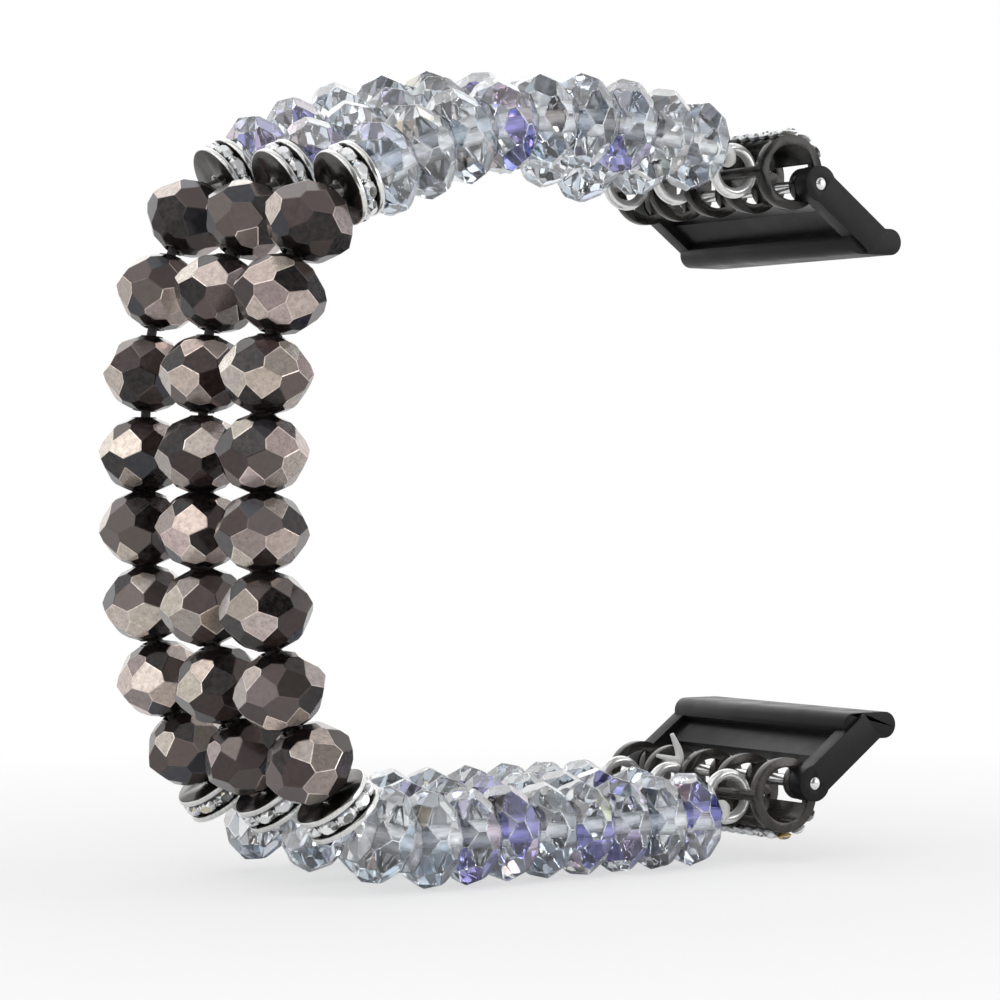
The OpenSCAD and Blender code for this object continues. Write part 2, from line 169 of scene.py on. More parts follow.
def looseParts(mesh):
    # labels every vertex with the number of the separate solid it belongs to
    label = list(range(len(mesh.vertices)))

    def root(v):
        while label[v] != v:
            label[v] = label[label[v]]
            v = label[v]
        return v

    for edge in mesh.edges:
        a, b = root(edge.vertices[0]), root(edge.vertices[1])
        if a != b:
            label[max(a, b)] = min(a, b)
    firsts = [root(v) for v in range(len(label))]
    number = {first: k for k, first in enumerate(sorted(set(firsts)))}
    return np.array([number[first] for first in firsts])


def points(mesh):
    found = np.empty(len(mesh.vertices) * 3)
    mesh.vertices.foreach_get("co", found)
    return found.reshape(-1, 3)


def roundLoop(place):
    # how far round the loop a place lies, from the middle gunmetal rows outwards
    return abs(math.atan2(place[2] - middleHeight / mm, -place[0]))


boreReach = 1.3  # the faces of a bore lie nearer to the bead's middle than this, in mm
boreStrip = 2  # and each is smaller than this, in square mm


def holeFrames(node):
    # centre, direction and half length of every bead's hole of a node, from the rows outwards
    piece = cleanCopy(node, "measure")
    part, place = looseParts(piece.data), points(piece.data)
    found = []
    for k in range(part.max() + 1):
        own = place[part == k]
        centre = own.mean(0)
        # the faces of the bore look at its middle line, so their normals leave its direction out
        lean = np.zeros((3, 3))
        for face in piece.data.polygons:
            reach = np.array(face.center) - centre
            inwards = reach @ np.array(face.normal) < 0 and reach @ reach < boreReach ** 2
            if part[face.vertices[0]] == k and inwards and face.area < boreStrip:
                lean += face.area * np.outer(face.normal, face.normal)
        axis = np.linalg.eigh(lean)[1][:, 0]
        rise = centre[2] - middleHeight / mm
        outwards = np.array([rise, 0, -centre[0]]) if rise > 0 else np.array([-rise, 0, centre[0]])
        if axis @ outwards < 0:
            axis = -axis
        along = (own - centre) @ axis
        middle = centre + axis * (along.max() + along.min()) / 2
        found.append((Vector(middle), Vector(axis), (along.max() - along.min()) / 2))
    bpy.data.objects.remove(piece)
    return sorted(found, key=lambda hole: roundLoop(hole[0]))


def nearestHole(holes, face):
    return min(holes, key=lambda hole: (hole[0] - face.center).length)


def joinCopies(pattern, stands, name):
    # one object of own-mesh copies of a small piece, one for each stand
    made = []
    for stand in stands:
        mesh = pattern.data.copy()
        mesh.transform(stand)
        made.append(addPiece(name, mesh))
    selectOnly(*made)
    bpy.ops.object.join()
    return made[0]


def copiesOf(pattern, places, name):
    # each copy is turned about its own Z, which then follows the place's axis
    stands = []
    for foot, axis, turn in places:
        stand = axis.to_track_quat("Z", "Y").to_matrix().to_4x4() @ Matrix.Rotation(turn, 4, "Z")
        stands.append(Matrix.Translation(foot) @ stand)
    return joinCopies(pattern, stands, name)


def spokesOf(pattern, places, name):
    # the Z of each copy points out and its Y runs along the axis
    stands = []
    for foot, out, axis in places:
        stand = Matrix((axis.cross(out).normalized(), axis, out)).transposed().to_4x4()
        stands.append(Matrix.Translation(foot) @ stand)
    return joinCopies(pattern, stands, name)


def finish(piece, node, material, slotName, *replaced):
    # back to metres, one material, and onto the body that carries the node
    piece.data.transform(Matrix.Scale(mm, 4))
    piece.data.polygons.foreach_set("material_index", [0] * len(piece.data.polygons))
    piece.data.materials.clear()
    piece.data.materials.append(material)
    piece.data.update()
    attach(piece, bodyOf[node])
    if replaced:
        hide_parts(*replaced)


def paintFacets(piece, pick, rim=None, polish={}):
    # every facet gets one colour, and a face left by the bevel gets one made from the facets that it joins;
    # the fourth value is 0 where the surface is left rough
    mesh = piece.data
    layer = mesh.color_attributes.new("facetColour", "FLOAT_COLOR", "CORNER")
    colours, beside = {}, {}
    for face in mesh.polygons:
        if face.material_index == 0:
            colours[face.index] = pick(face)
            for v in face.vertices:
                beside.setdefault(v, []).append(colours[face.index])
    for face in mesh.polygons:
        if face.material_index == 1:
            around = [colour for v in face.vertices for colour in beside.get(v, ())]
            colours[face.index] = rim(around)
        for k in face.loop_indices:
            layer.data[k].color = (*colours[face.index], polish.get(colours[face.index], 1))


def jitter(colour, amount, dice):
    # as a whole by up to the amount, and in each channel by up to a quarter of it
    grade = 1 + dice.uniform(-amount, amount)
    return tuple(min(1, c * grade * (1 + dice.uniform(-amount, amount) / 4)) for c in colour)


def weightedPick(palette, dice):
    mark = dice.uniform(0, sum(weight for _, weight in palette))
    for colour, weight in palette:
        mark -= weight
        if mark <= 0:
            return colour
    return palette[-1][0]


# materials
speckle = {
    "Pit": ({"Detail": 3, "Roughness": 0.7}, {"From Min": 0.5, "From Max": 0.72}),
    "Cloud": ({"Detail": 4}, {"From Min": 0.35, "From Max": 0.65}),
}
pitDepth = 0.00002
plate = {"speckle": (5200, 600), "pitted": ((0.4, 0.4, 0.4), 0, 0.5, "MULTIPLY"), "bump": 0.1}
# speckle holds the scales of the pits and the clouds; clouded, pitted and streaked hold a colour and
# the least and the greatest share of it; shader holds the plain values of the shader's sockets
looks = {
    "gunmetalCoating": {
        "speckle": (5200, 2300),
        "clouded": ((0.1, 0.075, 0.07), 0, 0.3),
        "pitted": ((0.07, 0.055, 0.05), 0, 0.4),
        "rough": (0.1, 0.24),
        "bump": 0.12,
        "shader": {"Metallic": 0.7, "Coat Weight": 0.35, "Coat Roughness": 0.04},
    },
    "crystalGlass": {
        "speckle": (3000, 420),
        "clouded": ((0.5, 0.57, 0.7), 0, 0.06),
        "streaks": (260, 260, 2600),
        "streakDetail": 2,
        "streaked": ((0.92, 0.95, 1.0), 0, 0.2),
        "rough": (0.005, 0.04),
        "unpolished": 0.6,
        "shader": {
            "IOR": 1.54, "Transmission Weight": 0.94,
            "Coat Weight": 0.8, "Coat Roughness": 0.02, "Coat IOR": 1.7,
        },
    },
    "frostedBore": {
        "tone": (0.96, 0.97, 0.98),
        "speckle": (4200, 1500),
        "clouded": ((0.3, 0.33, 0.37), 0, 0.5),
        "streaks": (500, 500, 3800),
        "streakDetail": 2,
        "streaked": ((0.2, 0.22, 0.25), -0.7, 1.1),
        "rough": (0.3, 0.6),
        "shader": {"Emission Strength": 0.85},
    },
    "rhinestoneGlass": {
        "speckle": (5200, 1800),
        "clouded": ((0.9, 0.93, 0.95), 0, 0.25),
        "rough": (0.02, 0.08),
        "shader": {"Metallic": 0.35, "Coat Weight": 1, "Coat Roughness": 0.02},
    },
    "silverPlate": {
        **plate,
        "tone": (0.88, 0.88, 0.87),
        "clouded": ((0.94, 0.94, 0.93), 0, 0.6),
        "rough": (0.12, 0.24),
        "shader": {"Metallic": 0.9},
    },
    "spacerSilver": {
        **plate,
        "clouded": ((0.9, 0.9, 0.89), 0, 0.1),
        "rough": (0.1, 0.22),
        "shader": {"Metallic": 0.9},
    },
    "connectorMetal": {
        **plate,
        "speckle": (5200, 500),
        "clouded": ((0.12, 0.11, 0.1), 0, 0.3),
        "rough": (0.14, 0.3),
        "shader": {"Metallic": 0.55},
    },
    "ringSilver": {
        **plate,
        "tone": (0.93, 0.93, 0.92),
        "clouded": ((0.97, 0.97, 0.96), 0, 0.6),
        "rough": (0.1, 0.22),
        "shader": {"Metallic": 0.6},
    },
    "blackMetal": {
        **plate,
        "tone": (0.006, 0.006, 0.007),
        "speckle": (9000, 400),
        "clouded": ((0.012, 0.012, 0.013), 0, 0.6),
        "rough": (0.3, 0.44),
        "bump": 0.2,
        "shader": {"Metallic": 0.0, "Specular IOR Level": 0.2},
    },
    "whiteElastic": {
        "tone": (0.93, 0.93, 0.91),
        "streaks": (26, 2.2, 1),
        "streakDetail": 4,
        "streaked": ((0.7, 0.7, 0.68), -0.35, 1.2),
        "rough": (0.6, 0.85),
        "bump": 0.5,
        "fibreDepth": 0.00006,
        "shader": {"Sheen Weight": 0.3},
    },
}


def feed(tree, node, values):
    # each input gets a link from another socket, or a plain value
    for key, value in values.items():
        socket = node.inputs[key]
        if isinstance(value, bpy.types.NodeSocket):
            tree.links.new(value, socket)
        elif socket.type == "RGBA":
            socket.default_value = (*value, 1)
        else:
            socket.default_value = value


def addNode(tree, kind, values={}, operation=None):
    node = tree.nodes.new(f"ShaderNode{kind}")
    if operation:
        node.operation = operation
    feed(tree, node, values)
    return node


def makeSpeckleGroup():
    # fine pits and clouding of a plated or coated surface
    tree = bpy.data.node_groups.new("plateSpeckle", "ShaderNodeTree")
    for mark in speckle:
        tree.interface.new_socket(f"{mark} Scale", in_out="INPUT", socket_type="NodeSocketFloat")
        tree.interface.new_socket(f"{mark}s", in_out="OUTPUT", socket_type="NodeSocketFloat")
    given, out = tree.nodes.new("NodeGroupInput"), tree.nodes.new("NodeGroupOutput")
    place = addNode(tree, "TexCoord").outputs["Object"]
    for mark, (detail, edges) in speckle.items():
        scale = given.outputs[f"{mark} Scale"]
        noise = addNode(tree, "TexNoise", {"Vector": place, "Scale": scale, **detail})
        edge = addNode(tree, "MapRange", {"Value": noise.outputs["Fac"], **edges})
        feed(tree, out, {f"{mark}s": edge.outputs["Result"]})
    return tree


speckleGroup = makeSpeckleGroup()


def newMaterial(name):
    material = bpy.data.materials.new(name)
    material.use_nodes = True
    tree = material.node_tree
    return material, tree, tree.nodes["Principled BSDF"]


def addSpeckle(tree, pitScale, cloudScale):
    group = tree.nodes.new("ShaderNodeGroup")
    group.node_tree = speckleGroup
    feed(tree, group, {"Pit Scale": pitScale, "Cloud Scale": cloudScale})
    return group.outputs["Pits"], group.outputs["Clouds"]


def mixColour(tree, factor, first, second, blend="MIX"):
    # colours or sockets in, colour socket out
    mix = tree.nodes.new("ShaderNodeMix")
    mix.data_type = "RGBA"
    mix.blend_type = blend
    feed(tree, mix, {0: factor, 6: first, 7: second})
    return mix.outputs[2]


def spread(tree, value, low, high):
    # a mask from 0 to 1 spread over low to high
    return addNode(tree, "MapRange", {"Value": value, "To Min": low, "To Max": high}).outputs["Result"]


def lay(tree, mask, base, colour, low, high, blend="MIX"):
    # lays a colour over the base, its share spread by the mask
    return mixColour(tree, spread(tree, mask, low, high), base, colour, blend)


def addBump(tree, shader, height, strength, distance):
    bump = addNode(tree, "Bump", {"Strength": strength, "Distance": distance, "Height": height})
    feed(tree, shader, {"Normal": bump.outputs["Normal"]})


def paintedOn(tree, value="Color"):
    # what paintFacets or cordTube left on the mesh
    painted = tree.nodes.new("ShaderNodeAttribute")
    painted.attribute_name = "facetColour"
    return painted.outputs[value]


def addStreaks(tree, place, look):
    # noise drawn out along one way
    drawn = addNode(tree, "Mapping", {"Vector": place, "Scale": look["streaks"]})
    noise = {"Vector": drawn.outputs["Vector"], "Scale": 1, "Detail": look["streakDetail"]}
    return addNode(tree, "TexNoise", noise).outputs["Fac"]


def coatedMaterial(name):
    # its own or its painted tone, clouded with a worn one, with tiny pits if its look has them
    look = looks[name]
    material, tree, shader = newMaterial(name)
    pits, clouds = addSpeckle(tree, *look["speckle"])
    tone = lay(tree, clouds, look.get("tone") or paintedOn(tree), *look["clouded"])
    if "pitted" in look:
        tone = lay(tree, pits, tone, *look["pitted"])
        addBump(tree, shader, pits, look["bump"], pitDepth)
    rough = spread(tree, clouds, *look["rough"])
    feed(tree, shader, {"Base Color": tone, "Roughness": rough, **look["shader"]})
    return material


def crystalMaterial():
    look = looks["crystalGlass"]
    material, tree, shader = newMaterial("crystalGlass")
    clouds = addSpeckle(tree, *look["speckle"])[1]
    streaks = addStreaks(tree, addNode(tree, "TexCoord").outputs["Object"], look)
    tone = lay(tree, streaks, paintedOn(tree), *look["streaked"])
    tone = lay(tree, clouds, tone, *look["clouded"])
    polished = spread(tree, clouds, *look["rough"])
    rough = spread(tree, paintedOn(tree, "Alpha"), look["unpolished"], polished)
    feed(tree, shader, {"Base Color": tone, "Roughness": rough, **look["shader"]})
    return material


def boreMaterial():
    # the drilled, unpolished wall of a crystal's hole, streaked along the drill's way
    look = looks["frostedBore"]
    material, tree, shader = newMaterial("frostedBore")
    pits, clouds = addSpeckle(tree, *look["speckle"])
    streaks = addStreaks(tree, addNode(tree, "TexCoord").outputs["Object"], look)
    tone = lay(tree, clouds, look["tone"], *look["clouded"])
    tone = lay(tree, streaks, tone, *look["streaked"])
    # it glows a little, for the light that the glass gathers on it
    feed(tree, shader, {
        "Base Color": tone, "Emission Color": tone, "Roughness": spread(tree, pits, *look["rough"]),
        **look["shader"],
    })
    return material


def elasticMaterial():
    look = looks["whiteElastic"]
    material, tree, shader = newMaterial("whiteElastic")
    around = tree.nodes.new("ShaderNodeUVMap")
    around.uv_map = "UVMap"
    fibres = addStreaks(tree, around.outputs["UV"], look)
    tone = lay(tree, fibres, look["tone"], *look["streaked"])
    feed(tree, shader, {
        "Base Color": mixColour(tree, 1.0, tone, paintedOn(tree), "MULTIPLY"),
        "Roughness": spread(tree, fibres, *look["rough"]), **look["shader"],
    })
    addBump(tree, shader, fibres, look["bump"], look["fibreDepth"])
    return material


gunmetal = coatedMaterial("gunmetalCoating")
crystal = crystalMaterial()
frosted = boreMaterial()
rhinestone = coatedMaterial("rhinestoneGlass")
silver = coatedMaterial("silverPlate")
spacerSilver = coatedMaterial("spacerSilver")
ribMetal = coatedMaterial("connectorMetal")
ringSilver = coatedMaterial("ringSilver")
blackMetal = coatedMaterial("blackMetal")
elastic = elasticMaterial()
print("materials made")

# gunmetal beads; sizes here and below are in mm, and a palette gives each colour its weight
gunmetalBead = {
    "edge": 0.045,
    "endFacing": 0.999,
    "poleFacing": 0.72,
    "collar": 0.1,
    "collarSlope": 0.08,
    # painted shade: facets at the poles and in the bore, where the beads meet, get these near-black colours
    "shadedPole": (
        ((0.012, 0.01, 0.011), 76),
        ((0.04, 0.028, 0.027), 20),
        ((0.12, 0.105, 0.1), 4),
    ),
    "side": (
        ((0.66, 0.56, 0.5), 24),
        ((0.38, 0.32, 0.295), 13),
        ((0.13, 0.104, 0.097), 18),
        ((0.045, 0.03, 0.028), 16),
        ((0.006, 0.005, 0.006), 27),
        ((0.035, 0.04, 0.052), 6),
    ),
    # above this sum of its three values a facet counts as light
    "light": 0.8,
    # painted highlight: how much brighter than the facets beside it a bevel is painted
    "highlightGain": 1.3,
    "highlightLift": 0.06,
    "edgeHighlightGain": 1.15,
    "jitter": 0.16,
    "seed": 11,
}


def gunmetalRim(around):
    # painted highlight: the bevels beside light facets are painted much brighter than those facets, and the
    # others a little brighter than the facets they join
    if not around:
        return gunmetalBead["shadedPole"][1][0]
    brightest = max(around, key=sum)
    if sum(brightest) > gunmetalBead["light"]:
        return tuple(min(1, gunmetalBead["highlightGain"] * c + gunmetalBead["highlightLift"]) for c in brightest)
    return tuple(gunmetalBead["edgeHighlightGain"] * sum(column) / len(around) for column in zip(*around))


def makeGunmetalBeads():
    dice = random.Random(gunmetalBead["seed"])
    for node in sorted(nodes):
        if not node.startswith("metal_"):
            continue
        holes = holeFrames(node)
        piece = cleanCopy(node, node.replace("metal_", "gunmetalBeads_"))
        bevelSharp(piece, gunmetalBead["edge"], facetAngle)

        def isEnd(face):
            return abs(nearestHole(holes, face)[1].dot(face.normal)) > gunmetalBead["endFacing"]

        # a collar stands round the hole at both ends of each bead, closing the gap to the next one; it takes
        # the near-black pole colours, painted shade between the beads
        openEdit(piece)
        selectFaces(piece, isEnd)
        bpy.ops.mesh.inset(thickness=gunmetalBead["collarSlope"], depth=gunmetalBead["collar"])
        closeEdit()

        def pick(face):
            bead = nearestHole(holes, face)
            along = abs(bead[1].dot(face.center - bead[0]))
            atPole = abs(bead[1].dot(face.normal)) > gunmetalBead["poleFacing"] or along > bead[2]
            inBore = (face.center - bead[0]).dot(face.normal) < 0
            palette = gunmetalBead["shadedPole" if atPole or inBore else "side"]
            return jitter(weightedPick(palette, dice), gunmetalBead["jitter"], dice)

        paintFacets(piece, pick, gunmetalRim)
        finish(piece, node, gunmetal, "gunmetal_coating", node)


makeGunmetalBeads()
print("gunmetal beads made")

# crystal beads
crystalBead = {
    "edge": 0.05,
    "endFacing": 0.99,
    "rim": (0.98, 0.985, 1.0),
    # painted shade: the bevel round each end of a crystal, where the beads meet, is painted near-black
    "shadedEndRim": (0.03, 0.035, 0.04),
    "end": (0.98, 0.99, 0.99),
    "bore": (0.99, 0.99, 0.99),
    "lining": 0.61,
    "liningWall": 0.05,
    "liningShorter": 0.2,
    "liningSides": 16,
    "liningSmooth": 40,
    "plain": (
        ((0.9, 0.955, 1.0), 38),
        ((0.4, 0.52, 0.66), 22),
        ((0.075, 0.1, 0.135), 17),
        ((0.006, 0.008, 0.011), 15),
        ((0.6, 0.55, 0.85), 3),
        ((0.85, 0.66, 0.38), 2),
        ((0.4, 0.33, 0.3), 4),
    ),
    "coat": (
        ((0.025, 0.018, 0.5), 50),
        ((0.1, 0.07, 0.68), 24),
        ((0.3, 0.18, 0.5), 14),
        ((0.85, 0.9, 0.98), 14),
    ),
    "besideCoat": (
        ((0.6, 0.36, 0.5), 18),
        ((0.2, 0.13, 0.12), 20),
        ((0.09, 0.11, 0.13), 22),
        ((0.85, 0.9, 0.95), 30),
        ((0.75, 0.9, 0.35), 4),
    ),
    # degrees from its middle to which the violet coat and the tones beside it reach
    "coatReach": 34,
    "besideReach": 68,
    "perGroup": 3,
    # the crystals with a strong violet coat, counted from the spacer, and where on the bead it lies,
    # in degrees from the near side upwards
    "violet": {
        "bottom_near": {3: -48, 4: 8, 6: 0, 7: -48, 9: 12},
        "bottom_middle": {5: 50, 8: 35},
        "bottom_far": {3: 30, 6: 50},
        "top_near": {4: -20, 7: -60},
        "top_middle": {1: 30, 5: 40},
        "top_far": {1: 50, 2: 20},
    },
    "jitter": 0.12,
    "seed": 29,
}


def roundBead(direction, axis):
    # degrees round a bead, from its near side upwards
    near = Vector((0, -1, 0))
    near = (near - axis * near.dot(axis)).normalized()
    above = axis.cross(near) if axis.cross(near).z > 0 else near.cross(axis)
    return math.degrees(math.atan2(direction.dot(above), direction.dot(near)))


def makeLinings(node, holes):
    # the frosted wall of each hole, just inside the polished glass
    bpy.ops.mesh.primitive_cylinder_add(
        vertices=crystalBead["liningSides"], radius=crystalBead["lining"],
        depth=2 * holes[0][2] - crystalBead["liningShorter"], end_fill_type="NOTHING", location=(0, 0, 0),
    )
    lining = bpy.context.object
    wall = lining.modifiers.new("wall", "SOLIDIFY")
    wall.thickness = crystalBead["liningWall"]
    bpy.ops.object.modifier_apply(modifier="wall")
    places = [(hole[0], hole[1], 0) for hole in holes]
    piece = copiesOf(lining, places, node.replace("crystals", "crystalBores"))
    bpy.data.objects.remove(lining)
    smoothBy(piece, crystalBead["liningSmooth"])
    finish(piece, node, frosted, "crystal_glass")


def makeCrystals(side, strand, number, dice):
    node = f"{side}_crystals_{groups[number]}_{strand}"
    holes = holeFrames(node)
    piece = cleanCopy(node, node.replace("crystals", "crystalBeads"))
    bevelSharp(piece, crystalBead["edge"], facetAngle)
    coated = crystalBead["violet"][f"{side}_{strand}"]

    def pick(face):
        hole = nearestHole(holes, face)
        if (face.center - hole[0]).dot(face.normal) < 0:
            return crystalBead["bore"]
        if abs(hole[1].dot(face.normal)) > crystalBead["endFacing"]:
            return crystalBead["end"]
        rank = crystalBead["perGroup"] * number + holes.index(hole) + 1
        palette = "plain"
        if rank in coated:
            off = abs((roundBead(face.normal, hole[1]) - coated[rank] + 180) % 360 - 180)
            if off < crystalBead["besideReach"]:
                palette = "coat" if off < crystalBead["coatReach"] else "besideCoat"
        return jitter(weightedPick(crystalBead[palette], dice), crystalBead["jitter"], dice)

    def rim(around):
        # painted shade on the bevels round the ends, clear glass elsewhere
        return crystalBead["shadedEndRim" if crystalBead["end"] in around else "rim"]

    paintFacets(piece, pick, rim, {crystalBead["bore"]: 0})
    finish(piece, node, crystal, "crystal_glass", node)
    makeLinings(node, holes)


crystalDice = random.Random(crystalBead["seed"])
for side, strand in ends:
    for number in range(len(groups)):
        makeCrystals(side, strand, number, crystalDice)
print("crystal beads made")

# stones; table and foot are shares of the width, crown and girdle of the height
stoneCut = {
    "sides": 8,
    "table": 0.56,
    "crown": 0.42,
    "girdle": 0.12,
    "foot": 0.5,
    "gold": (0.8, 0.52, 0.12),
    "palette": (
        ((0.97, 0.98, 1.0), 58),
        ((0.8, 0.83, 0.85), 18),
        ((0.4, 0.41, 0.4), 8),
        ((0.06, 0.062, 0.042), 14),
        ((0.8, 0.72, 0.52), 1),
        ((0.62, 0.68, 0.86), 3),
    ),
    "jitter": 0.1,
    "seed": 41,
}
spacerStone = {"size": 1.22, "height": 0.9, "stretch": 1.34, "seed": 43}
plateStone = {"size": 1.3, "height": 0.56, "seed": 47, "goldReach": 0.55}


def cutStone(diameter, height):
    # table up, girdle below the crown facets, a short foot that the setting holds
    sides = stoneCut["sides"]
    crown, girdle = height * stoneCut["crown"], height * stoneCut["girdle"]
    bpy.ops.mesh.primitive_cylinder_add(vertices=sides, radius=diameter / 2, depth=girdle, location=(0, 0, 0))
    stone = bpy.context.object
    openEdit(stone)
    selectFaces(stone, lambda face: face.normal.z > facing)
    bpy.ops.mesh.extrude_region_move(TRANSFORM_OT_translate={"value": (0, 0, crown)})
    bpy.ops.transform.resize(value=(stoneCut["table"], stoneCut["table"], 1), center_override=(0, 0, 0))
    bpy.ops.transform.rotate(value=math.pi / sides, orient_axis="Z", center_override=(0, 0, 0))
    selectFaces(stone, lambda face: face.normal.z < -facing)
    bpy.ops.mesh.extrude_region_move(TRANSFORM_OT_translate={"value": (0, 0, crown + girdle - height)})
    bpy.ops.transform.resize(value=(stoneCut["foot"], stoneCut["foot"], 1), center_override=(0, 0, 0))
    bpy.ops.mesh.select_all(action="SELECT")
    bpy.ops.mesh.quads_convert_to_tris(quad_method="BEAUTY", ngon_method="BEAUTY")
    bpy.ops.mesh.dissolve_limited(angle_limit=math.radians(1))
    bpy.ops.mesh.normals_make_consistent(inside=False)
    closeEdit()
    lowest = min(v.co.z for v in stone.data.vertices)
    stone.data.transform(Matrix.Translation((0, 0, -lowest)))
    stone.data.shade_flat()
    return stone


def stoneSeats(node, around):
    # foot, axis and turn of every stone of a node, the axis pointing away from what carries it
    dice = random.Random(stoneCut["seed"])
    piece = cleanCopy(node, "measure")
    mesh = piece.data
    part, place = looseParts(mesh), points(mesh)
    seats = []
    for k in range(part.max() + 1):
        own = place[part == k]
        faces = [face for face in mesh.polygons if part[face.vertices[0]] == k]
        axis = Vector(max(faces, key=lambda face: face.area).normal)
        centre = Vector(own.mean(0))
        along = (own - np.array(centre)) @ np.array(axis)
        if axis.dot(centre - around(centre)) < 0:
            axis = -axis
        turn = dice.uniform(0, 2 * math.pi / stoneCut["sides"])
        seats.append((centre - axis * (along.max() - along.min()) / 2, axis, turn))
    bpy.data.objects.remove(piece)
    return seats


def paintStones(piece, seed, gold=None):
    # one stone may be a golden one
    dice = random.Random(seed)

    def pick(face):
        colour = jitter(weightedPick(stoneCut["palette"], dice), stoneCut["jitter"], dice)
        reach = plateStone["size"] * plateStone["goldReach"]
        golden = gold is not None and (face.center - gold).length < reach
        return tuple(c * tint for c, tint in zip(colour, stoneCut["gold"])) if golden else colour

    paintFacets(piece, pick)


# spacers
spacerFrame = {
    "rim": 0.09,
    "smooth": 40,
    "endFacing": 0.99,
    "post": 0.13,
    "postShape": (1, 2.6, 1.3),
    # from the spacer's middle, farther than the feet of its stones
    "postAt": 2.72,
    "posts": 10,
    "plate": (0.88, 0.88, 0.86),
    # painted reflection: the flange faces are painted dark for the dark beads that they mirror
    "flangeReflection": (0.05, 0.046, 0.042),
}


def spacerSeats(side, strand):
    # the spacer's hole, and foot, outward direction and axis of each of its stones
    hole = holeFrames(f"{side}_spacer_{strand}")[0]
    seats = []
    for foot, _, _ in stoneSeats(f"{side}_spacer_stones", lambda centre: hole[0]):
        out = foot - hole[0]
        out -= hole[1] * out.dot(hole[1])
        if (foot - hole[0]).length < spacerFrame["postAt"]:
            seats.append((foot, out.normalized(), hole[1]))
    return hole, seats


def makeSpacerStones():
    stone = cutStone(spacerStone["size"], spacerStone["height"])
    stretch(stone, (spacerStone["stretch"], 1, 1))
    for side in halves:
        node = f"{side}_spacer_stones"
        places = [seat for strand in strands for seat in spacerSeats(side, strand)[1]]
        piece = spokesOf(stone, places, f"{side}_spacerStones")
        paintStones(piece, spacerStone["seed"])
        finish(piece, node, rhinestone, "rhinestone", node)
    bpy.data.objects.remove(stone)


def makeSpacer(side, strand):
    # two flanges on a hub, their faces painted dark as a painted reflection of the dark beads beside them, and
    # their rims bright
    node = f"{side}_spacer_{strand}"
    axis = holeFrames(node)[0][1]
    piece = cleanCopy(node, node.replace("spacer", "spacerFrame"), roundFlat)
    bevelSharp(piece, spacerFrame["rim"], cornerAngle, segments=2)

    def pick(face):
        return spacerFrame["flangeReflection" if abs(axis.dot(face.normal)) > spacerFrame["endFacing"] else "plate"]

    paintFacets(piece, pick, lambda around: spacerFrame["plate"])
    smoothBy(piece, spacerFrame["smooth"])
    finish(piece, node, spacerSilver, "silver_plate", node)


def makeSpacerPosts():
    # small claws between the stones of a spacer
    bpy.ops.mesh.primitive_uv_sphere_add(
        segments=8, ring_count=6, radius=spacerFrame["post"], location=(0, 0, 0),
    )
    post = bpy.context.object
    stretch(post, spacerFrame["postShape"])
    post.data.shade_smooth()
    for side, strand in ends:
        hole, seats = spacerSeats(side, strand)
        places = []
        for k in range(spacerFrame["posts"]):
            turn = Matrix.Rotation(2 * math.pi * (k + 0.5) / spacerFrame["posts"], 3, hole[1])
            out = turn @ seats[0][1]
            places.append((hole[0] + out * spacerFrame["postAt"], out, hole[1]))
        piece = spokesOf(post, places, f"{side}_spacerPosts_{strand}")
        finish(piece, f"{side}_spacer_{strand}", silver, "silver_plate")
    bpy.data.objects.remove(post)


makeSpacerStones()
for side, strand in ends:
    makeSpacer(side, strand)
makeSpacerPosts()
print("spacers and their stones made")

# connectors
connector = {
    "edge": 0.07,
    "smooth": 35,
    # painted shade: the top connector is painted blacker than the bottom one; the bevels' colour is edge wear,
    # with painted highlight making the bottom one's edges much brighter than the top one's
    "face": {"top": (0.016, 0.0155, 0.015), "bottom": (0.05, 0.046, 0.043)},
    "edgeWearAndHighlight": {"top": (0.3, 0.29, 0.28), "bottom": (0.85, 0.82, 0.78)},
    # the stone plate is rounded about a line this far inside it
    "plateRadius": 3.1,
    "claw": 0.2,
    "clawOut": 0.3,
}


def makeConnectors():
    for side in halves:
        node = f"{side}_connector"
        piece = cleanCopy(node, f"{side}_ribbedConnector", roundFlat)
        bevelSharp(piece, connector["edge"], cornerAngle, segments=2)
        # painted shade on the top connector's faces; bevels painted with edge wear and painted highlight
        paintFacets(piece, lambda face: connector["face"][side], lambda around: connector["edgeWearAndHighlight"][side])
        smoothBy(piece, connector["smooth"])
        finish(piece, node, ribMetal, "connector_metal", node)


def plateClaws(places, middleAt):
    # a claw between every four stones of a plate
    angles = sorted({round(math.degrees(math.atan2(axis.z, axis.x))) for _, axis, _ in places})
    columns = sorted({round(foot.y, 3) for foot, _, _ in places})
    claws = []
    for a, b in zip(angles, angles[1:]):
        turn = math.radians((a + b) / 2)
        out = Vector((math.cos(turn), 0, math.sin(turn)))
        for y0, y1 in zip(columns, columns[1:]):
            foot = middleAt((y0 + y1) / 2) + out * (connector["plateRadius"] + connector["clawOut"])
            claws.append((foot, out, 0))
    return claws


